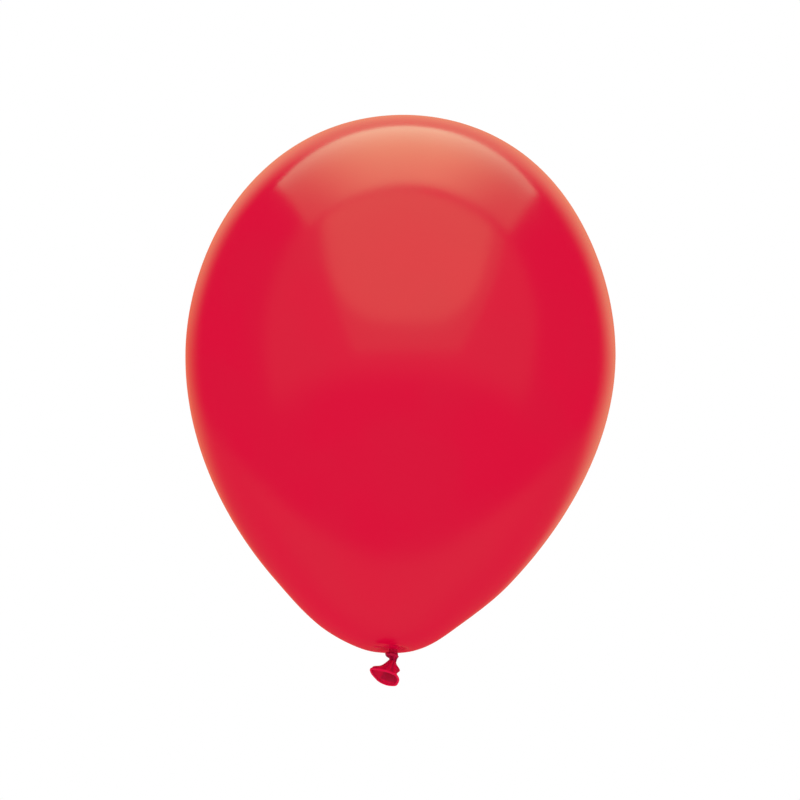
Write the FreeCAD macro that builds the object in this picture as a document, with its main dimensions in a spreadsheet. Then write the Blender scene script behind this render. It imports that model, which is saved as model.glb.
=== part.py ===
import FreeCAD, Part
import os
import Sketcher

# A round latex party balloon, blown up and closed with one overhand knot in its neck.
# Millimetres, +Z up along the balloon's axis, -Y is the front. The origin is on the axis at the
# waist of the neck, between the blown-up envelope and the knot, where a ribbon is tied.
# The real balloon is one dipped skin of latex. It is drawn as the eight forms that the skin takes.

# Every size that can be set by itself, in millimetres or degrees.
SIZES = [
    # the blown-up envelope
    ("envelope_radius", 145.0, "half of the blown-up diameter"),
    ("crown_height", 162.5, "from the widest circle up to the crown"),
    ("foot_height", 200.7, "from the neck ring up to the widest circle"),
    ("belly_curve", 162.0, "radius of the upright curve at the widest circle"),
    ("crown_reach", 103.2, "how far out the flat top of the crown pulls the curve"),
    ("foot_reach", 29.4, "how far in the underside pulls the curve"),
    ("foot_sag", 12.6, "how far below the neck ring the underside pulls the curve"),
    ("film_wall", 0.3, "drawn wall of the envelope"),
    # the gathered neck
    ("ring_radius", 8.0, "where the stretched skin turns into the gathered neck"),
    ("ring_level", 2.0, "the neck ring above the waist"),
    ("waist_ball", 2.4, "rounded foot of the waist, on which the knot tilts"),
    ("waist_taper", 0.2, "how much wider the squeezed neck is at the gather"),
    ("waist_level", 1.4, "top of the squeezed neck"),
    ("gather_wall", 0.5, "gathered skin at its middle"),
    ("pleat_depth", 0.3, "a pleat at the waist, running out to nothing at the ring"),
    ("pleat_width", 0.45, "a pleat across"),
    ("pleat_count", 12, "pleats round the neck"),
    # the knot
    ("joint_gap", 0.15, "between each rounded end and its cup"),
    ("waist_cup_angle", 55.0, "how far the knot's upper cup reaches round its ball"),
    ("tail_cup_angle", 50.0, "how far the knot's lower cup reaches round its ball"),
    ("cup_rim", 0.51, "skin round the mouth of the knot's upper cup"),
    ("cup_web", 1.4, "skin left between the knot's two cups"),
    ("core_round", 0.35, "rounding of the core's two rims"),
    ("rim_flat", 0.1, "least flat left beside that rounding"),
    ("loop_wire", 1.35, "half the thickness of the turn round the knot"),
    ("loop_tilt", 17.0, "the turn's slope, higher on the -X side"),
    # the tail, measured along its own axis from the bend under the knot
    ("tail_ball", 2.1, "rounded top of the tail, on which it swings"),
    ("strand_step", 0.4, "how much thinner the strand is than that ball"),
    ("root_flare", 0.5, "how much wider the strand is at its foot"),
    ("root_drop", 0.3, "foot of the strand below the ball"),
    ("cap_depth", 0.8, "closed top of the sleeve"),
    ("tail_wall", 0.5, "drawn wall of the sleeve"),
    ("mouth_radius", 9.4, "middle of the lip"),
    ("mouth_depth", 12.3, "from the bend to the sleeve's open end"),
    ("flare_bow", 0.9, "how far the flare bows inside a straight cone"),
    ("lip_radius", 0.75, "half the thickness of the rolled lip"),
    ("lip_set", 0.3, "middle of the lip beyond the sleeve's end"),
    ("tail_bend", 20.7, "how far the tail hangs over to -X"),
    ("tail_lean", 6.0, "how far the mouth turns to the front"),
]

# Sizes that follow from the ones above, as the sheet's own formulas.
DERIVED = [
    ("belly_level", "ring_level + foot_height"),
    ("crown_level", "belly_level + crown_height"),
    ("upper_pull", "belly_level + sqrt(2 * (envelope_radius - crown_reach) * belly_curve / 3)"),
    ("lower_pull", "belly_level - sqrt(2 * (envelope_radius - foot_reach) * belly_curve / 3)"),
    ("foot_level", "ring_level - foot_sag"),
    ("inner_radius", "envelope_radius - film_wall"),
    ("inner_crown", "crown_level - film_wall"),
    ("inner_foot", "foot_level + film_wall"),
    ("ring_top", "ring_level + film_wall"),
    ("waist_radius", "waist_ball + waist_taper"),
    ("gather_top", "waist_level + gather_wall"),
    ("pleat_top", "waist_level + gather_wall / 2"),
    ("pleat_foot", "waist_level - pleat_depth"),
    ("pleat_start", "waist_radius + pleat_width / 2"),
    ("pleat_reach", "ring_radius - pleat_width"),
    ("waist_cup", "waist_ball + joint_gap"),
    ("tail_cup", "tail_ball + joint_gap"),
    ("exit_level", "-waist_cup - cup_web - tail_cup"),
    ("core_radius", "waist_cup * sin(waist_cup_angle) + cup_rim"),
    ("core_top", "-waist_cup * cos(waist_cup_angle)"),
    ("core_foot", "exit_level + tail_cup * cos(tail_cup_angle)"),
    ("core_length", "core_top - core_foot"),
    ("rim_round", "min(core_round; cup_rim - rim_flat)"),
    ("loop_level", "(core_top + core_foot) / 2"),
    ("loop_span", "2 * (core_radius + loop_wire)"),
    ("strand_radius", "tail_ball - strand_step"),
    ("root_radius", "strand_radius + root_flare"),
    ("root_depth", "tail_ball + root_drop"),
    ("root_level", "-root_depth"),
    ("cap_level", "-root_depth - cap_depth"),
    ("mouth_level", "-mouth_depth"),
    ("mouth_outer", "mouth_radius + tail_wall / 2"),
    ("mouth_inner", "mouth_radius - tail_wall / 2"),
    ("near_level", "-(2 * root_depth + mouth_depth) / 3"),
    ("far_level", "-(root_depth + 2 * mouth_depth) / 3"),
    ("near_outer", "(2 * root_radius + mouth_outer) / 3 - flare_bow"),
    ("far_outer", "(root_radius + 2 * mouth_outer) / 3 - flare_bow"),
    ("near_inner", "near_outer - tail_wall"),
    ("far_inner", "far_outer - tail_wall"),
    ("lip_level", "-mouth_depth - lip_set"),
    ("lip_reach", "mouth_radius + 2 * lip_radius"),
    ("lip_cut", "2 * lip_radius"),
]

# How Sketcher counts the parts of a line or curve, and its own fixed geometry.
START, END, CENTRE = 1, 2, 3
ORIGIN_POINT = (-1, 1)
UPRIGHT_AXIS = -2
FULL_TURN = 360.0
EQUATOR = 0.0
CUBIC = 3
SAME = 0.0001

doc = FreeCAD.newDocument("latex_balloon")


def make_sheet():
    """Put every size in the spreadsheet, under its own name."""
    sheet = doc.addObject("Spreadsheet::Sheet", "sizes")
    notes = [(name, str(value), note) for name, value, note in SIZES]
    notes += [(name, "=" + formula, formula) for name, formula in DERIVED]
    for row, (name, content, note) in enumerate(notes, 1):
        sheet.set("A%d" % row, "'" + note)
        sheet.set("B%d" % row, content)
        sheet.setAlias("B%d" % row, name)
    doc.recompute()
    return sheet


sheet = make_sheet()


def size(name):
    """A size as it stands, for the first place of a point in a sketch."""
    return float(sheet.get(name))


def bind(thing, **properties):
    """Tie each property to the size of that name. Two underscores stand for a dot."""
    for prop, name in properties.items():
        thing.setExpression(prop.replace("__", "."), "sizes." + name)


def spot(place):
    """First place of a sketch point given by two sizes. None is the axis."""
    across, up = place
    return FreeCAD.Vector(size(across) if across else 0.0, size(up), 0.0)


def tie(sketch, geometry, end, place):
    """Hold a sketch point at the sizes that give its place."""
    for kind, name in zip(("DistanceX", "DistanceY"), place):
        if name is None:
            sketch.addConstraint(Sketcher.Constraint("PointOnObject", geometry, end, UPRIGHT_AXIS))
        else:
            rule = Sketcher.Constraint(kind, *ORIGIN_POINT, geometry, end, size(name))
            number = sketch.addConstraint(rule)
            sketch.setExpression("Constraints[%d]" % number, "sizes." + name)


def outline(body, name, start, steps):
    """Sketch a closed outline on the body's upright plane, seen from the front.

    A step of one place is a straight line to it. A step of three is a cubic curve: its two pull
    points, then its end.
    """
    plane = [part for part in body.Origin.OriginFeatures if part.Role == "XZ_Plane"][0]
    sketch = body.newObject("Sketcher::SketchObject", name)
    sketch.AttachmentSupport = [(plane, "")]
    sketch.MapMode = "FlatFace"
    edges = []
    here = start
    for step in steps:
        places = [spot(place) for place in [here] + step]
        if len(step) == 1:
            edge = sketch.addGeometry(Part.LineSegment(*places))
        else:
            curve = Part.BSplineCurve()
            ends = [CUBIC + 1, CUBIC + 1]
            curve.buildFromPolesMultsKnots(places, ends, [0.0, 1.0], False, CUBIC)
            edge = sketch.addGeometry(curve)
            sketch.exposeInternalGeometry(edge)
            first_pole = edge + 1
            for number, pull in enumerate(step[:-1], 1):
                tie(sketch, first_pole + number, CENTRE, pull)
        tie(sketch, edge, END, step[-1])
        if edges:
            sketch.addConstraint(Sketcher.Constraint("Coincident", edges[-1], END, edge, START))
        edges.append(edge)
        here = step[-1]
    sketch.addConstraint(Sketcher.Constraint("Coincident", edges[-1], END, edges[0], START))
    return sketch


def turned(body, name, start, steps):
    """Turn a closed outline once round the body's axis."""
    sketch = outline(body, name + "_outline", start, steps)
    turn = body.newObject("PartDesign::Revolution", name + "_turned")
    turn.Profile = sketch
    turn.ReferenceAxis = (sketch, ["V_Axis"])
    turn.Angle = FULL_TURN
    return turn


def new_body(label):
    """A body that will be one node of this name."""
    body = doc.addObject("PartDesign::Body", label + "_body")
    body.Label = label
    return body


def primitive(kind, name, **properties):
    """A Part primitive with its sizes tied to the sheet."""
    form = doc.addObject("Part::" + kind, name)
    bind(form, **properties)
    return form


def cut(name, base, tool):
    """Take one form away from another."""
    result = doc.addObject("Part::Cut", name)
    result.Base = base
    result.Tool = tool
    return result


def hang_with_tail(thing):
    """Move a piece made round the tail's own axis to where the tail hangs."""
    bind(thing, Placement__Base__z="exit_level")
    thing.setExpression("Placement.Rotation.Pitch", "sizes.tail_bend")
    thing.setExpression("Placement.Rotation.Roll", "-sizes.tail_lean")


def make_envelope():
    """The blown-up skin: a thin pear of revolution, open only at the neck ring."""
    body = new_body("envelope")
    outer_crown = [
        ("crown_reach", "crown_level"), ("envelope_radius", "upper_pull"),
        ("envelope_radius", "belly_level"),
    ]
    outer_foot = [
        ("envelope_radius", "lower_pull"), ("foot_reach", "foot_level"),
        ("ring_radius", "ring_level"),
    ]
    inner_foot = [
        ("foot_reach", "inner_foot"), ("inner_radius", "lower_pull"),
        ("inner_radius", "belly_level"),
    ]
    inner_crown = [
        ("inner_radius", "upper_pull"), ("crown_reach", "inner_crown"), (None, "inner_crown"),
    ]
    neck_edge = [("ring_radius", "ring_top")]
    back_to_crown = [(None, "crown_level")]
    steps = [outer_crown, outer_foot, neck_edge, inner_foot, inner_crown, back_to_crown]
    turned(body, "envelope", (None, "crown_level"), steps)
    return body


def make_neck_gather():
    """The skin drawn in to the neck: a shallow cone that closes the ring, with pleats below."""
    body = new_body("neck_gather")
    steps = [
        [("waist_radius", "waist_level")], [("ring_radius", "ring_level")],
        [("ring_radius", "ring_top")], [("waist_radius", "gather_top")],
        [(None, "gather_top")], [(None, "waist_level")],
    ]
    turned(body, "gather", (None, "waist_level"), steps)
    pleat_steps = [
        [("pleat_reach", "ring_level")], [("pleat_start", "pleat_foot")],
        [("pleat_start", "pleat_top")],
    ]
    sketch = outline(body, "pleat_outline", ("pleat_start", "pleat_top"), pleat_steps)
    pleat = body.newObject("PartDesign::Pad", "pleat")
    pleat.Profile = sketch
    pleat.Midplane = True
    bind(pleat, Length="pleat_width")
    doc.recompute()
    pleats = body.newObject("PartDesign::PolarPattern", "pleats")
    pleats.Originals = [pleat]
    pleats.Axis = (sketch, ["V_Axis"])
    pleats.Angle = FULL_TURN
    bind(pleats, Occurrences="pleat_count")
    body.Tip = pleats
    return body


def make_neck_waist():
    """The squeezed neck between the gather and the knot, with a rounded foot."""
    stem = primitive("Cone", "waist_stem", Radius1="waist_ball", Radius2="waist_radius",
                     Height="waist_level")
    ball = primitive("Sphere", "waist_foot", Radius="waist_ball")
    ball.Angle2 = EQUATOR
    waist = doc.addObject("Part::MultiFuse", "waist")
    waist.Shapes = [stem, ball]
    waist.Label = "neck_waist"
    return waist


def make_knot_core():
    """The strand inside the knot, with a cup above for the waist and one below for the tail."""
    strand = primitive("Cylinder", "core_strand", Radius="core_radius", Height="core_length",
                       Placement__Base__z="core_foot")
    upper_cup = primitive("Sphere", "upper_cup", Radius="waist_cup")
    lower_cup = primitive("Sphere", "lower_cup", Radius="tail_cup",
                          Placement__Base__z="exit_level")
    cupped = cut("core_cupped", cut("core_top_cupped", strand, upper_cup), lower_cup)
    doc.recompute()
    rims = []
    for number, edge in enumerate(cupped.Shape.Edges, 1):
        box = edge.BoundBox
        if abs(box.XLength - 2 * size("core_radius")) < SAME and box.ZLength < SAME:
            rims.append(number)
    core = doc.addObject("Part::Fillet", "core")
    core.Base = cupped
    core.Edges = [(number, size("rim_round"), size("rim_round")) for number in rims]
    core.Label = "knot_core"
    return core


def make_knot_loop():
    """The one turn of rolled skin round the knot's core, sloping down from the -X side."""
    turn = primitive("Torus", "loop_turn", Radius1="core_radius", Radius2="loop_wire",
                     Placement__Base__z="loop_level", Placement__Rotation__Pitch="loop_tilt")
    room = primitive("Cylinder", "loop_room", Radius="core_radius", Height="loop_span")
    room.setExpression("Placement.Base.z", "sizes.loop_level - sizes.loop_span / 2")
    loop = cut("loop", turn, room)
    loop.Label = "knot_loop"
    return loop


def make_tail_root():
    """The tail's solid top: a ball in the knot's lower cup, and the strand under it."""
    ball = primitive("Sphere", "tail_ball_form", Radius="tail_ball")
    strand = primitive("Cone", "tail_strand", Radius1="root_radius", Radius2="strand_radius",
                       Height="root_depth", Placement__Base__z="root_level")
    root = doc.addObject("Part::MultiFuse", "root")
    root.Shapes = [ball, strand]
    root.Label = "tail_root"
    hang_with_tail(root)
    return root


def make_tail_sleeve():
    """The loose end of the neck: a flared sleeve, closed at the root and open at the mouth."""
    body = new_body("tail_sleeve")
    outer_flare = [
        ("near_outer", "near_level"), ("far_outer", "far_level"), ("mouth_outer", "mouth_level"),
    ]
    inner_flare = [
        ("far_inner", "far_level"), ("near_inner", "near_level"), ("strand_radius", "cap_level"),
    ]
    steps = [
        [("root_radius", "root_level")], outer_flare, [("mouth_inner", "mouth_level")],
        inner_flare, [(None, "cap_level")], [(None, "root_level")],
    ]
    turned(body, "sleeve", (None, "root_level"), steps)
    hang_with_tail(body)
    return body


def make_lip_bead():
    """The rolled lip: a round bead with a flat where it sits on the sleeve's open end."""
    roll = primitive("Torus", "lip_roll", Radius1="mouth_radius", Radius2="lip_radius",
                     Placement__Base__z="lip_level")
    above = primitive("Cylinder", "lip_seat", Radius="lip_reach", Height="lip_cut",
                      Placement__Base__z="mouth_level")
    bead = cut("bead", roll, above)
    bead.Label = "lip_bead"
    hang_with_tail(bead)
    return bead


nodes = [
    make_envelope(),
    make_neck_gather(),
    make_neck_waist(),
    make_knot_core(),
    make_knot_loop(),
    make_tail_root(),
    make_tail_sleeve(),
    make_lip_bead(),
]
doc.recompute()

for thing in doc.Objects:
    faults = {"Invalid", "Error"} & set(thing.State)
    if faults:
        raise RuntimeError("%s did not compute: %s" % (thing.Name, faults))
for node in nodes:
    if node.Shape.isNull() or not node.Shape.isValid() or len(node.Shape.Solids) != 1:
        raise RuntimeError("%s is not one valid solid" % node.Label)

os.makedirs("parts", exist_ok=True)
for node in nodes:
    node.Shape.exportStep("parts/%s.step" % node.Label)
    box = node.Shape.BoundBox
    print("%-12s %10.1f mm3, z %.2f to %.2f" % (node.Label, node.Shape.Volume, box.ZMin, box.ZMax))
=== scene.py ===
import math

import bmesh
import bpy
from mathutils import Matrix, Quaternion, Vector


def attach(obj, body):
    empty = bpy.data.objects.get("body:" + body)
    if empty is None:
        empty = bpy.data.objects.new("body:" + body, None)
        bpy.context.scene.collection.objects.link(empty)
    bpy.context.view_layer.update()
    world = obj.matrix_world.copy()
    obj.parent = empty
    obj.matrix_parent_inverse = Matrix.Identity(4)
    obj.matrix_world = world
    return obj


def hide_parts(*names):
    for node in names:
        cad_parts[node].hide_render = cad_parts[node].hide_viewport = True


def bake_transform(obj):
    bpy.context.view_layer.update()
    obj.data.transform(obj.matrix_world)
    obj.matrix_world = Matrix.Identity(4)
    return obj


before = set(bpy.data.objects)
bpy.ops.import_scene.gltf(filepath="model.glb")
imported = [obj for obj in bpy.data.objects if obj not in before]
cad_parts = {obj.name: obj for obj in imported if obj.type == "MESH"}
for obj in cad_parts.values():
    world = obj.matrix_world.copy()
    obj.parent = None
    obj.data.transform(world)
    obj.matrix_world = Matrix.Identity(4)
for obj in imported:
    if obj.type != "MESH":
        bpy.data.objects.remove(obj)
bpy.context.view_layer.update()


# The room. The balloon floats by its neck above a wide pale floor, in an even
# white studio, with the camera a little below it and looking up.
room = bpy.context.scene
room.view_settings.view_transform = "Standard"
bpy.ops.object.select_all(action="DESELECT")

camera_stand = Vector((0, -2.2216, -0.4240))
camera_aim = Vector((0, 0, 0.1713))
camera_roll = math.radians(1.55)
bpy.ops.object.camera_add(location=camera_stand)
camera = bpy.context.object
camera.name = "studio_camera"
camera.data.sensor_width = 36
camera.data.lens = 153.8
camera.data.clip_end = 60
camera.rotation_mode = "QUATERNION"
camera.rotation_quaternion = (camera_aim - camera_stand).to_track_quat(
    "-Z", "Y"
) @ Quaternion((0, 0, 1), camera_roll)
room.camera = camera


def put(tree, kind, inputs=(), **settings):
    """Adds a node, with its settings, its input values and the sockets linked to it."""
    made = tree.nodes.new(kind)
    for key, value in settings.items():
        setattr(made, key, value)
    for key, value in dict(inputs).items():
        if isinstance(value, bpy.types.NodeSocket):
            tree.links.new(value, made.inputs[key])
        else:
            made.inputs[key].default_value = value
    return made


def blended(tree, amount, first, second):
    """Mixes two colours by an amount, and gives the socket of the result."""
    mix = put(tree, "ShaderNodeMix", data_type="RGBA")
    for socket, value in ((0, amount), (6, first), (7, second)):
        if isinstance(value, bpy.types.NodeSocket):
            tree.links.new(value, mix.inputs[socket])
        else:
            mix.inputs[socket].default_value = value
    return mix.outputs[2]


def eased(tree, value, low, high, first=0.0, last=1.0):
    """Carries a value from low..high to first..last with a smooth step."""
    return put(
        tree,
        "ShaderNodeMapRange",
        {"Value": value, "From Min": low, "From Max": high, "To Min": first, "To Max": last},
        interpolation_type="SMOOTHSTEP",
    ).outputs["Result"]


def combined(tree, way, first, second):
    """One arithmetic step between two values."""
    return put(tree, "ShaderNodeMath", {0: first, 1: second}, operation=way).outputs[0]


# The air of the studio: white to look at and even for soft light. What the gloss
# mirrors is the film's own glow, a bright wall behind and the floor far below.
studio_air = bpy.data.worlds.new("studio_air")
room.world = studio_air
studio_air.use_nodes = True
studio_air.cycles.sampling_method = "NONE"
air = studio_air.node_tree
air.nodes.clear()
way = put(air, "ShaderNodeTexCoord")
split_way = put(air, "ShaderNodeSeparateXYZ", {0: way.outputs["Generated"]})
way_x, way_y, way_z = (split_way.outputs[k] for k in range(3))
flat_way = put(air, "ShaderNodeCombineXYZ", {0: way_x, 1: way_y, 2: 0.0})
flat_length = put(
    air, "ShaderNodeVectorMath", {0: flat_way.outputs[0]}, operation="LENGTH"
).outputs["Value"]
towards_wall = combined(
    air,
    "DIVIDE",
    combined(air, "ADD", way_y, combined(air, "MULTIPLY", way_x, 0.03)),
    combined(air, "MAXIMUM", flat_length, 0.05),
)
wall_edge = eased(air, towards_wall, 0.655, 0.93)
wall_band = combined(
    air,
    "MULTIPLY",
    eased(air, way_z, -0.12, 0.06),
    eased(air, way_z, 0.25, 0.55, 1.0, 0.0),
)
wall_right = combined(air, "MULTIPLY", eased(air, way_x, 0.10, 0.35), wall_band)
off_middle = combined(air, "ABSOLUTE", way_x, 0.0)
wall_height = combined(air, "ADD", way_z, combined(air, "MULTIPLY", off_middle, 0.25))
wall_share = combined(air, "MULTIPLY", combined(air, "ADD", wall_height, 0.1), 1.25)
wall = put(air, "ShaderNodeValToRGB", {0: wall_share})
for place, colour in (
    (0.175, (0.01, 0.01, 0.0, 1)),
    (0.25, (0.06, 0.05, 0.015, 1)),
    (0.39, (0.18, 0.21, 0.07, 1)),
    (0.575, (0.19, 0.25, 0.08, 1)),
    (0.75, (0.30, 0.46, 0.20, 1)),
):
    stop = wall.color_ramp.elements.new(place)
    stop.color = colour
wall.color_ramp.elements[0].color = (0, 0, 0, 1)
wall.color_ramp.elements[-1].color = (0.38, 0.60, 0.31, 1)
film_glow = (0.70, 0.012, 0.045, 1)
wall_both = put(air, "ShaderNodeMix", data_type="RGBA", blend_type="ADD")
air.links.new(wall_right, wall_both.inputs[0])
air.links.new(wall.outputs[0], wall_both.inputs[6])
wall_both.inputs[7].default_value = (0.03, 0.19, 0.12, 1)
wall_light = put(
    air,
    "ShaderNodeVectorMath",
    {0: wall_both.outputs[2], 3: wall_edge},
    operation="SCALE",
).outputs[0]
towards_floor = combined(air, "SUBTRACT", combined(air, "MULTIPLY", way_y, 0.97), way_z)
floor_near = combined(
    air,
    "MULTIPLY",
    eased(air, towards_floor, 0.60, 0.74),
    eased(air, way_y, 0.05, 0.65, 1.0, 0.3),
)
front_haze = combined(
    air,
    "MULTIPLY",
    eased(air, way_y, -0.35, -0.15, 1.0, 0.0),
    eased(air, way_z, -0.38, -0.15),
)
low_light = combined(air, "MAXIMUM", floor_near, front_haze)
floor_light = blended(air, low_light, (0, 0, 0, 1), (0.10, 0.24, 0.10, 1))
glow = put(air, "ShaderNodeMix", data_type="RGBA", blend_type="ADD")
glow.inputs[0].default_value = 1
glow.inputs[6].default_value = film_glow
air.links.new(wall_light, glow.inputs[7])
mirrored = put(air, "ShaderNodeMix", data_type="RGBA", blend_type="ADD")
mirrored.inputs[0].default_value = 1
air.links.new(glow.outputs[2], mirrored.inputs[6])
air.links.new(floor_light, mirrored.inputs[7])
ray = put(air, "ShaderNodeLightPath")
soft_light = (1.05, 1.05, 1.05, 1)
seen = blended(air, ray.outputs["Is Glossy Ray"], soft_light, mirrored.outputs[2])
shown = blended(air, ray.outputs["Is Camera Ray"], seen, (1, 1, 1, 1))
sky = put(air, "ShaderNodeBackground", {"Color": shown})
put(air, "ShaderNodeOutputWorld", {"Surface": sky.outputs[0]})


# Two softboxes: one flat overhead, and one tilted in front and above, with a
# brighter middle. They show in the gloss of the skin and light nothing else.
def softbox(name, corners, tint):
    """A four-sided glowing panel between its corners, seen only in gloss."""
    bpy.ops.object.select_all(action="DESELECT")
    bpy.ops.mesh.primitive_plane_add(size=2, location=(0, 0, 0))
    panel = bpy.context.object
    panel.name = name
    for vertex, corner in zip(panel.data.vertices, corners):
        vertex.co = corner
    glow_skin = bpy.data.materials.new(name + "_glow")
    glow_skin.use_nodes = True
    tree = glow_skin.node_tree
    tree.nodes.clear()
    lamp = put(tree, "ShaderNodeEmission", {"Color": (*tint, 1)})
    put(tree, "ShaderNodeOutputMaterial", {"Surface": lamp.outputs[0]})
    panel.data.materials.append(glow_skin)
    panel.visible_camera = False
    panel.visible_diffuse = False
    panel.visible_transmission = False
    panel.visible_shadow = False
    place = put(tree, "ShaderNodeTexCoord").outputs["Object"]
    return tree, lamp, place


overhead_level = 2.3
tree, lamp, place = softbox(
    "overhead_softbox",
    (
        (-2.00, -1.06, overhead_level),
        (2.15, -0.80, overhead_level),
        (-1.60, 1.04, overhead_level),
        (1.66, 1.13, overhead_level),
    ),
    (0.74, 1.0, 0.48),
)
split_place = put(tree, "ShaderNodeSeparateXYZ", {0: place})
depth = split_place.outputs[1]
off_middle = combined(tree, "ABSOLUTE", split_place.outputs[0], 0.0)
corner = combined(
    tree,
    "MULTIPLY",
    eased(tree, off_middle, 0.2, 1.7, 0.0, 0.72),
    eased(tree, depth, 2.3, 0.2),
)
strength = combined(
    tree,
    "MULTIPLY",
    combined(tree, "SUBTRACT", 1.0, corner),
    combined(
        tree,
        "ADD",
        eased(tree, depth, -0.6, 1.2, 3.4, 3.0),
        eased(tree, depth, 0.85, 1.2, 0.0, 0.35),
    ),
)
tree.links.new(strength, lamp.inputs["Strength"])
tint = blended(tree, eased(tree, depth, -0.2, 1.2), (0.74, 1.0, 0.48, 1), (0.68, 1.0, 0.62, 1))
tree.links.new(tint, lamp.inputs["Color"])

front_middle = Vector((0, -1.4142, 1.6642))
front_rise = Vector((0, 0.7071, 0.7071))
front_corners = [
    Vector((across, 0, 0)) + front_middle + front_rise * along
    for across, along in ((-1.50, -2.78), (1.98, -2.68), (-1.55, 0.58), (2.0, 0.63))
]
glow_half_width = 1.50
glow_half_drop = 1.30
tree, lamp, place = softbox("front_softbox", front_corners, (0.92, 1.0, 0.45))
split_place = put(tree, "ShaderNodeSeparateXYZ", {0: place})
across = combined(tree, "SUBTRACT", split_place.outputs[0], 0.1)
along = combined(tree, "SUBTRACT", split_place.outputs[2], front_middle.z)
across_share = combined(tree, "POWER", combined(tree, "ABSOLUTE", across, 0.0), 3.0)
along_share = combined(
    tree, "POWER", combined(tree, "ABSOLUTE", combined(tree, "MINIMUM", along, 0.0), 0.0), 3.0
)
middle = combined(
    tree,
    "ADD",
    combined(tree, "MULTIPLY", across_share, 1 / glow_half_width**3),
    combined(tree, "MULTIPLY", along_share, 1 / glow_half_drop**3),
)
strength = eased(tree, middle, 0.75, 1.30, 1.38, 0.62)
tree.links.new(strength, lamp.inputs["Strength"])


# The floor: a wide round sheet of pale grey board, smooth and matt, a metre below
# the neck. It is there to be seen, and takes no part in the light or the gloss.
floor_radius = 20
floor_level = -1.0
bpy.ops.object.select_all(action="DESELECT")
bpy.ops.mesh.primitive_circle_add(
    vertices=96, radius=floor_radius, fill_type="NGON", location=(0, 0, floor_level)
)
floor = bpy.context.object
floor.name = "studio_floor"
floor.visible_glossy = False
floor.visible_diffuse = False
floor_board = bpy.data.materials.new("pale_board")
floor_board.use_nodes = True
tree = floor_board.node_tree
board = tree.nodes["Principled BSDF"]
board.inputs["Roughness"].default_value = 0.9
board.inputs["Specular IOR Level"].default_value = 0.1
place = put(tree, "ShaderNodeTexCoord").outputs["Object"]
cloud = put(tree, "ShaderNodeTexNoise", {"Vector": place, "Scale": 3.0, "Detail": 4.0})
tone = blended(tree, cloud.outputs["Fac"], (0.87, 0.87, 0.87, 1), (0.90, 0.90, 0.895, 1))
tree.links.new(tone, board.inputs["Base Color"])
floor.data.materials.append(floor_board)


# The envelope: the blown part of one dipped latex skin, stretched to a film 0.3 mm
# thick. It is one closed wall of gas-tight rubber, open only where the neck begins.
envelope_radius = 0.145
belly_level = 0.2027
crown_level = 0.3652
foot_radius = 0.008
foot_level = 0.0020
film_wall = 0.0003
film_columns = 192
film_rows = 80

bpy.ops.object.select_all(action="DESELECT")
bpy.ops.curve.primitive_bezier_curve_add(location=(0, 0, 0))
outline = bpy.context.object
run = outline.data.splines[0]
run.bezier_points.add(1)
flank_line = (
    (envelope_radius, belly_level),
    (envelope_radius, 0.09096),
    (0.0294, -0.0106),
    (foot_radius, foot_level),
)
for point, (before, middle_point, after) in zip(
    run.bezier_points,
    (
        ((-0.1032, crown_level), (0, crown_level), (0.1032, crown_level)),
        ((envelope_radius, 0.26989), flank_line[0], flank_line[1]),
        (flank_line[2], flank_line[3], (-0.0134, 0.0146)),
    ),
):
    point.handle_left_type = point.handle_right_type = "FREE"
    point.handle_left = (before[0], 0, before[1])
    point.co = (middle_point[0], 0, middle_point[1])
    point.handle_right = (after[0], 0, after[1])
outline.data.resolution_u = film_rows
run.resolution_u = film_rows
bpy.ops.object.convert(target="MESH")
envelope = bpy.context.object
envelope.name = "envelope_film"


def close_and_face():
    """Merges the doubles of the piece in edit mode and turns its faces out."""
    bpy.ops.mesh.select_all(action="SELECT")
    bpy.ops.mesh.remove_doubles(threshold=0.000001)
    bpy.ops.mesh.normals_make_consistent(inside=False)


def add_wall(piece, thickness):
    """Gives an open skin its wall, inwards from the outer face, with closed rims."""
    wall_of = piece.modifiers.new("wall", "SOLIDIFY")
    wall_of.thickness = thickness
    wall_of.offset = -1
    wall_of.use_rim = True
    bpy.ops.object.modifier_apply(modifier=wall_of.name)


bpy.ops.object.mode_set(mode="EDIT")
bpy.ops.mesh.select_all(action="SELECT")
bpy.ops.mesh.spin(
    steps=film_columns, angle=2 * math.pi, center=(0, 0, 0), axis=(0, 0, 1)
)
close_and_face()
bpy.ops.object.mode_set(mode="OBJECT")


def step(value):
    """A smooth step from 0 to 1."""
    value = min(max(value, 0.0), 1.0)
    return value * value * (3 - 2 * value)


def settle(piece):
    """Gives the blown film its small unevenness: a foot that hangs lower on the left
    and is drawn up on the right, a flank that leans left, and a crown that leans right."""
    for vertex in piece.data.vertices:
        level = vertex.co.z
        radius = math.hypot(vertex.co.x, vertex.co.y)
        flank = step(level / 0.020) * (1 - step((level - 0.050) / 0.150))
        foot = step((radius - 0.008) / 0.012) * (1 - step((level - 0.008) / 0.040))
        vertex.co.z += 0.05 * vertex.co.x * foot
        swell = 1 + 0.008 * flank
        vertex.co.x = vertex.co.x * swell - 0.0019 * flank
        vertex.co.y *= swell
        vertex.co.x += 0.0013 * step((level - 0.27) / 0.09) - 0.0005 * step(level / 0.03)


settle(envelope)
add_wall(envelope, film_wall)
bpy.ops.object.shade_smooth_by_angle(angle=math.radians(50))


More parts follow.
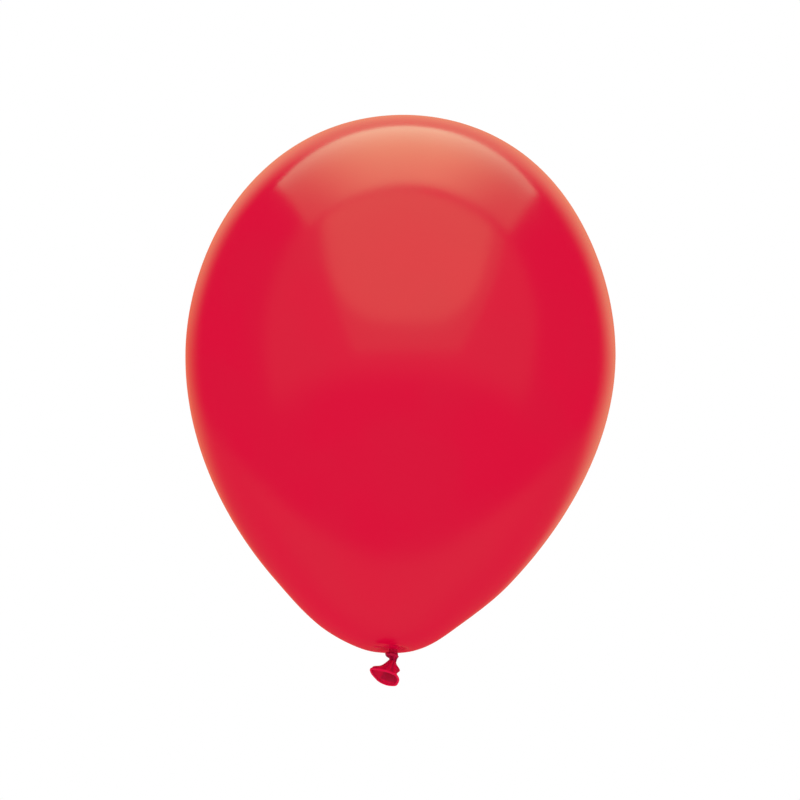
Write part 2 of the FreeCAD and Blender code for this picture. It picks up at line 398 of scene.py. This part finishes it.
# The look of latex, in a group that every skin of the balloon uses: slow clouds of
# pigment, and a fine grain left by the dipping mould.
latex_skin = bpy.data.node_groups.new("latex_skin", "ShaderNodeTree")
for name, kind, value in (
    ("Place", "NodeSocketVector", None),
    ("Cloud Scale", "NodeSocketFloat", 14.0),
    ("Grain Scale", "NodeSocketFloat", 900.0),
):
    socket = latex_skin.interface.new_socket(name, in_out="INPUT", socket_type=kind)
    if value is not None:
        socket.default_value = value
for name in ("Cloud", "Grain"):
    latex_skin.interface.new_socket(name, in_out="OUTPUT", socket_type="NodeSocketFloat")
given = latex_skin.nodes.new("NodeGroupInput")
slow = put(
    latex_skin,
    "ShaderNodeTexNoise",
    {"Vector": given.outputs["Place"], "Scale": given.outputs["Cloud Scale"],
     "Detail": 3.0, "Roughness": 0.45},
)
fine = put(
    latex_skin,
    "ShaderNodeTexNoise",
    {"Vector": given.outputs["Place"], "Scale": given.outputs["Grain Scale"],
     "Detail": 4.0, "Roughness": 0.6},
)
speck = put(
    latex_skin,
    "ShaderNodeTexVoronoi",
    {"Vector": given.outputs["Place"], "Scale": given.outputs["Grain Scale"]},
)
grain = combined(
    latex_skin,
    "ADD",
    combined(latex_skin, "MULTIPLY", fine.outputs["Fac"], 0.8),
    combined(latex_skin, "MULTIPLY", speck.outputs["Distance"], 0.2),
)
put(
    latex_skin,
    "NodeGroupOutput",
    {"Cloud": eased(latex_skin, slow.outputs["Fac"], 0.32, 0.68), "Grain": grain},
)


def latex(name, ior, thin, dense, gloss, cloud_scale, grain_scale, grain_height):
    """A latex material of two pigment tones, and its tree, clouds and colour socket."""
    skin = bpy.data.materials.new(name)
    skin.use_nodes = True
    tree = skin.node_tree
    rubber = tree.nodes["Principled BSDF"]
    rubber.inputs["IOR"].default_value = ior
    place = put(tree, "ShaderNodeTexCoord").outputs["Object"]
    look = tree.nodes.new("ShaderNodeGroup")
    look.node_tree = latex_skin
    tree.links.new(place, look.inputs["Place"])
    look.inputs["Cloud Scale"].default_value = cloud_scale
    look.inputs["Grain Scale"].default_value = grain_scale
    colour = blended(tree, look.outputs["Cloud"], thin, dense)
    tree.links.new(colour, rubber.inputs["Base Color"])
    rough = eased(tree, look.outputs["Cloud"], 0, 1, gloss[0], gloss[1])
    tree.links.new(rough, rubber.inputs["Roughness"])
    relief = put(
        tree,
        "ShaderNodeBump",
        {"Strength": 0.5, "Distance": grain_height, "Height": look.outputs["Grain"]},
    )
    tree.links.new(relief.outputs["Normal"], rubber.inputs["Normal"])
    return skin, tree, rubber, place, colour


film_thin = (0.684, 0.0008, 0.0360, 1)
film_dense = (0.668, 0.0003, 0.0340, 1)
film_thick = (0.580, 0.0010, 0.0300, 1)
film_latex, tree, rubber, place, colour = latex(
    "stretched_latex",
    ior=1.5,
    thin=film_thin,
    dense=film_dense,
    gloss=(0.15, 0.18),
    cloud_scale=16.0,
    grain_scale=1400.0,
    grain_height=0.00002,
)
split_place = put(tree, "ShaderNodeSeparateXYZ", {0: place})
flat_place = put(
    tree,
    "ShaderNodeCombineXYZ",
    {0: split_place.outputs[0], 1: split_place.outputs[1], 2: 0.0},
)
off_axis = put(
    tree, "ShaderNodeVectorMath", {0: flat_place.outputs[0]}, operation="LENGTH"
).outputs["Value"]
near_neck = combined(
    tree,
    "MULTIPLY",
    eased(tree, off_axis, 0.008, 0.020, 0.05, 0.0),
    eased(tree, split_place.outputs[2], 0.0, 0.05, 1.0, 0.0),
)
near_crown = combined(
    tree,
    "MULTIPLY",
    eased(tree, off_axis, 0.002, 0.012, 0.55, 0.0),
    eased(tree, split_place.outputs[2], 0.34, 0.36, 0.0, 1.0),
)
dense_film = combined(tree, "ADD", near_neck, near_crown)
colour = blended(tree, dense_film, colour, film_thick)
tree.links.new(colour, rubber.inputs["Base Color"])
envelope.data.materials.append(film_latex)
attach(envelope, "envelope")
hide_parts("envelope")


# The neck gather: the thick, unblown skin round the neck, drawn in to it in twelve
# pleats that run out to points over the film. It is the same skin as the envelope.
gather_columns = 180
gather_wall = 0.0004
pleats = 12
film_cover = 0.00015
film_rings = 22
gather_start = 0.890
gather_span = 0.110
pleat_reach = 0.0042
fan_reach = 0.0066
fan_from, fan_tip, fan_to = 203, 213, 288
tuck_width = 0.0007
tuck_depth = 0.00044


def on_cubic(ends, share):
    """The point on a cubic curve through four control points."""
    weights = (
        (1 - share) ** 3,
        3 * (1 - share) ** 2 * share,
        3 * (1 - share) * share**2,
        share**3,
    )
    return tuple(sum(w * end[k] for w, end in zip(weights, ends)) for k in range(2))


gather_rings = []
for k in range(film_rings):
    radius, level = on_cubic(flank_line, gather_start + gather_span * k / film_rings)
    gather_rings.append((radius, level + film_cover))
gather_rings += [
    (0.0080, 0.00210), (0.0074, 0.00198), (0.0066, 0.00192), (0.0058, 0.00184),
    (0.0050, 0.00175), (0.0043, 0.00166), (0.0037, 0.00155), (0.0033, 0.00138),
    (0.0030, 0.00122), (0.0027, 0.00106), (0.0024, 0.00095),
]


def start_ring(name, columns, radius, level):
    """A new piece, as one ring of points with its edges selected in edit mode."""
    bpy.ops.object.select_all(action="DESELECT")
    bpy.ops.mesh.primitive_circle_add(
        vertices=columns, radius=radius, fill_type="NOTHING", location=(0, 0, 0)
    )
    piece = bpy.context.object
    piece.name = name
    bpy.ops.object.mode_set(mode="EDIT")
    bpy.ops.mesh.select_all(action="SELECT")
    bpy.ops.transform.translate(value=(0, 0, level))
    return piece


def draw_rings(rings):
    """Extrudes the selected ring on through a list of (radius, level)."""
    for (radius, level), (next_radius, next_level) in zip(rings, rings[1:]):
        bpy.ops.mesh.extrude_region_move(
            TRANSFORM_OT_translate={"value": (0, 0, next_level - level)}
        )
        share = next_radius / radius
        bpy.ops.transform.resize(
            value=(share, share, 1), center_override=(0, 0, next_level)
        )


def note_folds(piece, folds):
    """Keeps how deep in a fold each point lies, 0 on a ridge and 1 in a valley."""
    kept = piece.data.attributes.new("fold", "FLOAT", "POINT")
    kept.data.foreach_set("value", folds)


gather = start_ring("neck_gather_pleats", gather_columns, *gather_rings[0])
draw_rings(gather_rings)
close_and_face()
bpy.ops.object.mode_set(mode="OBJECT")
folds = []
for vertex in gather.data.vertices:
    angle = math.atan2(vertex.co.y, vertex.co.x)
    radius = math.hypot(vertex.co.x, vertex.co.y)
    turn = math.degrees(angle) % 360
    streak = 0.5 + 0.5 * math.cos(pleats * angle + 40 * radius + 0.7 * math.sin(3 * angle))
    fan = step((turn - fan_from) / 8) * (1 - step((turn - fan_to) / 16))
    reach = pleat_reach + 0.0010 * streak + (fan_reach + 0.0005 * streak) * fan
    reach += 0.0032 * fan * math.exp(-(((turn - fan_tip) / 9) ** 2))
    tucked = step((reach - radius) / tuck_width)
    sunk = tuck_depth + 0.00012 * streak
    vertex.co.z -= tucked * sunk * step((radius - 0.0020) / 0.0012)
    folds.append(1 - tucked * (0.55 + 0.45 * streak))
note_folds(gather, folds)
settle(gather)
bpy.ops.object.mode_set(mode="EDIT")
bpy.ops.mesh.select_all(action="SELECT")
if sum(face.normal.z for face in gather.data.polygons) > 0:
    bpy.ops.mesh.flip_normals()
bpy.ops.object.mode_set(mode="OBJECT")
add_wall(gather, gather_wall)
bpy.ops.object.shade_smooth_by_angle(angle=math.radians(60))

gathered_ridge = (0.730, 0.0002, 0.0480, 1)
gathered_valley = (0.700, 0.0002, 0.0450, 1)


def fold_tone(tree, rubber, colour, valley, low, high):
    """Blends the colour towards a second colour as the fold value rises. On the neck,
    the knot and the tail this is painted shade, darker towards the bottoms of the
    folds; on the gather it is the film's own colour outside the pleats.
    """
    kept = put(tree, "ShaderNodeAttribute", attribute_name="fold").outputs["Fac"]
    toned = blended(tree, eased(tree, kept, low, high), colour, valley)
    tree.links.new(toned, rubber.inputs["Base Color"])


gather_latex, tree, rubber, place, colour = latex(
    "gathered_latex_pleats",
    ior=1.12,
    thin=gathered_ridge,
    dense=gathered_valley,
    gloss=(0.36, 0.46),
    cloud_scale=260.0,
    grain_scale=2600.0,
    grain_height=0.000008,
)
fold_tone(tree, rubber, colour, film_thin, 0.60, 0.95)
gather.data.materials.append(gather_latex)
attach(gather, "envelope")
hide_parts("neck_gather")


# The neck: the same skin squeezed into a twisted strand that runs down into the
# knot.
neck_columns = 96
neck_rings = (
    (0.00235, 0.00150), (0.00285, 0.00110), (0.00290, 0.00070), (0.00284, 0.00035),
    (0.00280, 0.00000), (0.00280, -0.00035), (0.00286, -0.00070), (0.00296, -0.00105),
    (0.00300, -0.00150), (0.00285, -0.00200), (0.00245, -0.00240),
)


def cap_end():
    """Closes the selected ring with a small inset face."""
    bpy.ops.mesh.edge_face_add()
    bpy.ops.mesh.inset(thickness=0.0006, depth=0)


def select_ring(piece, level):
    """Selects the ring of points at one level, in edit mode."""
    bpy.ops.mesh.select_all(action="DESELECT")
    shape = bmesh.from_edit_mesh(piece.data)
    for edge in shape.edges:
        edge.select_set(all(abs(v.co.z - level) < 0.000005 for v in edge.verts))
    bmesh.update_edit_mesh(piece.data)


def flute(piece, count, depth, winding, wander):
    """Draws the skin in along folds that wind down the strand, and notes them."""
    folds = []
    for vertex in piece.data.vertices:
        angle = math.atan2(vertex.co.y, vertex.co.x)
        turn = count * angle + winding * vertex.co.z
        valley = 0.5 + 0.5 * math.cos(turn + 0.9 * math.sin(2 * angle + 0.4))
        valley = valley**1.6
        share = 1 - depth * valley + wander * math.cos(3 * angle + 700 * vertex.co.z)
        vertex.co.x *= share
        vertex.co.y *= share
        folds.append(valley)
    note_folds(piece, folds)


neck = start_ring("neck_strand", neck_columns, *neck_rings[0])
cap_end()
select_ring(neck, neck_rings[0][1])
draw_rings(neck_rings)
cap_end()
close_and_face()
bpy.ops.object.mode_set(mode="OBJECT")
flute(neck, count=9, depth=0.11, winding=900, wander=0.02)
bpy.ops.object.shade_smooth()

knotted_ridge = (0.540, 0.0030, 0.0400, 1)
# The next colour is painted shade: the slightly deeper red that the neck strand and the knot
# loop take towards the bottoms of their folds.
knotted_fold_shade = (0.520, 0.0035, 0.0450, 1)
knotted_cloud = 420.0
knotted_grain = 3000.0
neck_latex, tree, rubber, place, colour = latex(
    "gathered_latex_strand",
    ior=1.18,
    thin=knotted_ridge,
    dense=(0.510, 0.0025, 0.0370, 1),
    gloss=(0.26, 0.36),
    cloud_scale=knotted_cloud,
    grain_scale=knotted_grain,
    grain_height=0.00002,
)
# Painted shade: the strand's flute valleys are darkened a little.
fold_tone(tree, rubber, colour, knotted_fold_shade, 0.2, 0.9)
neck.data.materials.append(neck_latex)
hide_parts("neck_waist")
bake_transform(neck)


# The knot: the neck tied once over itself by hand. Its core is the skin rolled up
# tight, and round it lies the loop of the tie, tilted, with a fold wound round it.
core_columns = 96
knot_shift = -0.0004
core_rings = (
    (0.00240, -0.00140), (0.00318, -0.00152), (0.00362, -0.00190), (0.00376, -0.00240),
    (0.00372, -0.00290), (0.00354, -0.00345), (0.00326, -0.00390), (0.00294, -0.00425),
    (0.00260, -0.00455), (0.00228, -0.00480), (0.00180, -0.00498),
)


def full_left(piece):
    """Draws the knot out on its left, where the tie was pulled through."""
    for vertex in piece.data.vertices:
        if vertex.co.x < 0:
            vertex.co.x *= 1 + 0.24 * step(-vertex.co.x / 0.003)


core = start_ring("knot_core_roll", core_columns, *core_rings[0])
cap_end()
select_ring(core, core_rings[0][1])
draw_rings(core_rings)
cap_end()
close_and_face()
bpy.ops.object.mode_set(mode="OBJECT")
flute(core, count=7, depth=0.07, winding=350, wander=0.02)
core.data.transform(Matrix.Translation((knot_shift, 0, 0)))
full_left(core)
bpy.ops.object.shade_smooth()

loop_radius = 0.0026
loop_wire = 0.00135
loop_level = -0.003108
loop_tilt = math.radians(17)
bpy.ops.object.select_all(action="DESELECT")
bpy.ops.mesh.primitive_torus_add(
    major_radius=loop_radius,
    minor_radius=loop_wire,
    major_segments=128,
    minor_segments=40,
    location=(0, 0, 0),
)
loop = bpy.context.object
loop.name = "knot_tie_loop"
folds = []
for vertex in loop.data.vertices:
    along_loop = math.atan2(vertex.co.y, vertex.co.x)
    out = Vector((math.cos(along_loop), math.sin(along_loop), 0))
    centre = out * loop_radius
    arm = vertex.co - centre
    round_wire = math.atan2(arm.z, arm.dot(out))
    valley = (0.5 + 0.5 * math.cos(5 * round_wire + 3 * along_loop)) ** 1.8
    plump = 1 + 0.10 * math.cos(2 * along_loop + 0.8) - 0.13 * valley
    vertex.co = centre + arm * plump
    folds.append(valley)
note_folds(loop, folds)
loop.data.transform(
    Matrix.Translation((knot_shift, 0, loop_level)) @ Matrix.Rotation(loop_tilt, 4, "Y")
)
full_left(loop)
bpy.ops.object.shade_smooth()

knot_latex, tree, rubber, place, colour = latex(
    "slack_latex_knot",
    ior=1.18,
    thin=(0.570, 0.0045, 0.0500, 1),
    dense=(0.530, 0.0040, 0.0470, 1),
    gloss=(0.28, 0.40),
    cloud_scale=knotted_cloud,
    grain_scale=knotted_grain,
    grain_height=0.00002,
)
# Painted shade: the loop's folds are darkened a little towards their bottoms.
fold_tone(tree, rubber, colour, knotted_fold_shade, 0.2, 0.9)
# The knot's core, and below it the tail's root, are painted a lighter red than the loop:
# painted light that lifts the shade in the crevices between loop, core and root, for the latex
# is one colour. Their folds still darken a little towards the bottoms, a painted shade.
core_latex_painted_light, tree, rubber, place, colour = latex(
    "slack_latex_core_painted_light",
    ior=1.12,
    thin=(0.830, 0.0060, 0.0800, 1),
    dense=(0.790, 0.0055, 0.0750, 1),
    gloss=(0.40, 0.50),
    cloud_scale=knotted_cloud,
    grain_scale=knotted_grain,
    grain_height=0.00001,
)
fold_tone(tree, rubber, colour, (0.740, 0.0050, 0.0700, 1), 0.2, 0.9)
for piece, node, skin in (
    (core, "knot_core", core_latex_painted_light),
    (loop, "knot_loop", knot_latex),
):
    piece.data.materials.append(skin)
    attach(piece, "knot")
    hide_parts(node)


# The tail's root: the slack end of the neck where it leaves the knot, never blown,
# so the skin is thick and creased. It is a narrow strand that leans left and
# forwards.
hinge = Vector((0, 0, -0.0062))
tail_lean = Matrix.Rotation(math.radians(20.7), 4, "Y") @ Matrix.Rotation(
    math.radians(-6.0), 4, "X"
)
mouth_depth = 0.0123
root_columns = 96
root_rings = (
    (0.00260, -0.00360), (0.00335, -0.00380), (0.00338, -0.00420), (0.00318, -0.00460),
    (0.00286, -0.00500), (0.00256, -0.00540), (0.00236, -0.00580), (0.00226, -0.00620),
    (0.00222, -0.00660), (0.00222, -0.00690),
    (0.00222, -0.00720), (0.00224, -0.00760), (0.00226, -0.00800), (0.00190, -0.00830),
)


def lean_over(piece):
    """Turns what lies below the hinge to the tail's lean, bending it through."""
    lean = tail_lean.to_quaternion()
    upright = Quaternion()
    for vertex in piece.data.vertices:
        below = hinge.z - vertex.co.z
        turned = upright.slerp(lean, step((below + 0.0012) / 0.0024))
        vertex.co = hinge + turned @ (vertex.co - hinge)


def slack(angle, depth, radius):
    """How far the limp skin stands out, how far it hangs, and how deep its folds are."""
    limp = max(depth, 0) / mouth_depth
    crease = math.cos(9 * angle + 0.5 + 60 * depth)
    broad = math.cos(5 * angle + 1.3 + 160 * depth)
    left = max(0.0, math.cos(angle - math.radians(184)))
    right = math.remainder(angle - math.radians(-12), 2 * math.pi)
    lobe = 0.0022 * left**2 * math.exp(-(((depth - 0.0101) / 0.0019) ** 2))
    spread = 0.0027 if depth < 0.0053 else 0.0020
    fold = 0.0029 * math.exp(-((right / 0.38) ** 2)) * math.exp(
        -(((depth - 0.0053) / spread) ** 2)
    )
    drift = -0.0007 * math.cos(angle) * limp**2
    out = (
        radius * (0.075 * (1 - 0.85 * limp) * crease + 0.035 * (1 - 0.4 * limp) * broad)
        + lobe
        + fold
        + drift
    )
    hang = limp**2 * (
        0.0016 * math.sin(angle)
        + 0.0006 * math.cos(2 * angle - 2.2)
        + 0.0002 * math.cos(3 * angle)
    )
    valley = 0.5 - 0.35 * crease - 0.15 * broad
    return out, hang, valley


def limp_skin(piece, own_radius=None):
    """Lets the skin of a tail piece hang slack, and notes its folds."""
    folds = []
    for vertex in piece.data.vertices:
        angle = math.atan2(vertex.co.y, vertex.co.x)
        radius = math.hypot(vertex.co.x, vertex.co.y)
        depth = hinge.z - vertex.co.z
        out, hang, valley = slack(
            angle, min(depth, mouth_depth), own_radius or radius
        )
        vertex.co.x += out * math.cos(angle)
        vertex.co.y += out * math.sin(angle)
        vertex.co.z -= hang
        folds.append(valley)
    note_folds(piece, folds)


root = start_ring("tail_root_strand", root_columns, *root_rings[0])
cap_end()
select_ring(root, root_rings[0][1])
draw_rings(root_rings)
cap_end()
close_and_face()
bpy.ops.object.mode_set(mode="OBJECT")
limp_skin(root)
lean_over(root)
bpy.ops.object.shade_smooth()
# The root takes the core's lighter red, painted light against the shade under the loop.
root.data.materials.append(core_latex_painted_light)
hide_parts("tail_root")
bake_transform(root)


# The sleeve: the tail's open mouth, flared and limp, with a full lobe on the left
# and one fold standing out on the right. Its wall is half a millimetre thick.
sleeve_columns = 144
sleeve_wall = 0.0005
sleeve_reach = (
    (0.00226, 0.0009), (0.00360, 0.0050), (0.00627, 0.0090), (0.00940, mouth_depth)
)
sleeve_rows = 30
sleeve_rings = []
for k in range(sleeve_rows + 1):
    radius, depth = on_cubic(sleeve_reach, k / sleeve_rows)
    sleeve_rings.append((radius, hinge.z - depth))
sleeve = start_ring("tail_sleeve_film", sleeve_columns, *sleeve_rings[0])
draw_rings(sleeve_rings)
close_and_face()
bpy.ops.object.mode_set(mode="OBJECT")
limp_skin(sleeve)
bpy.ops.object.mode_set(mode="EDIT")
bpy.ops.mesh.select_all(action="SELECT")
side = sum(
    face.normal.x * face.center.x + face.normal.y * face.center.y
    for face in sleeve.data.polygons
)
if side < 0:
    bpy.ops.mesh.flip_normals()
bpy.ops.object.mode_set(mode="OBJECT")
outer_points = len(sleeve.data.vertices)
add_wall(sleeve, sleeve_wall)
# Painted shade in the mouth: on the inner wall the fold value is raised towards full away from
# the lip, and less on the left, so the throat is painted dark.
folds = sleeve.data.attributes["fold"].data
for vertex in sleeve.data.vertices[outer_points:]:
    depth = hinge.z - vertex.co.z
    leftward = -vertex.co.x / math.hypot(vertex.co.x, vertex.co.y)
    throat_shade = step((0.0144 - depth) / 0.0026) * (1 - 0.9 * step((leftward - 0.25) / 0.5))
    folds[vertex.index].value = max(0.5 * folds[vertex.index].value, throat_shade)
lean_over(sleeve)
bpy.ops.object.shade_smooth_by_angle(angle=math.radians(60))

slack_cloud = 240.0
slack_grain = 2600.0
slack_latex, tree, rubber, place, colour = latex(
    "slack_latex_tail",
    ior=1.15,
    thin=(0.620, 0.0030, 0.0460, 1),
    dense=(0.560, 0.0026, 0.0410, 1),
    gloss=(0.26, 0.38),
    cloud_scale=slack_cloud,
    grain_scale=slack_grain,
    grain_height=0.00002,
)
# The tail's creases are painted a much deeper red towards their bottoms, painted shade; the
# inner wall of the mouth takes the same darkening as its painted throat shade.
fold_tone(tree, rubber, colour, (0.400, 0.0035, 0.0370, 1), 0.35, 1.0)
rubber.inputs["Subsurface Weight"].default_value = 0.4
rubber.inputs["Subsurface Radius"].default_value = (1.0, 0.15, 0.25)
rubber.inputs["Subsurface Scale"].default_value = 0.0018


# The lip: the bead rolled into the edge of the skin when it was dipped, which keeps
# the mouth from tearing.
lip_radius = 0.0094
lip_wire = 0.00075
bpy.ops.object.select_all(action="DESELECT")
bpy.ops.mesh.primitive_torus_add(
    major_radius=lip_radius,
    minor_radius=lip_wire,
    major_segments=sleeve_columns,
    minor_segments=20,
    location=(0, 0, 0),
)
lip = bpy.context.object
lip.name = "lip_rolled_bead"
for vertex in lip.data.vertices:
    vertex.co.z += hinge.z - mouth_depth - 0.0003
limp_skin(lip, lip_radius)
for kept in lip.data.attributes["fold"].data:
    kept.value *= 0.3
lean_over(lip)
bpy.ops.object.shade_smooth()
lip_latex, tree, rubber, place, colour = latex(
    "rolled_latex_lip",
    ior=1.15,
    thin=(0.740, 0.0030, 0.0540, 1),
    dense=(0.700, 0.0026, 0.0500, 1),
    gloss=(0.26, 0.38),
    cloud_scale=slack_cloud,
    grain_scale=slack_grain,
    grain_height=0.00001,
)
fold_tone(tree, rubber, colour, (0.600, 0.0030, 0.0440, 1), 0.35, 1.0)
for piece, node, skin in (
    (sleeve, "tail_sleeve", slack_latex),
    (lip, "lip_bead", lip_latex),
):
    piece.data.materials.append(skin)
    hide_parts(node)
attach(lip, "tail")
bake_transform(sleeve)
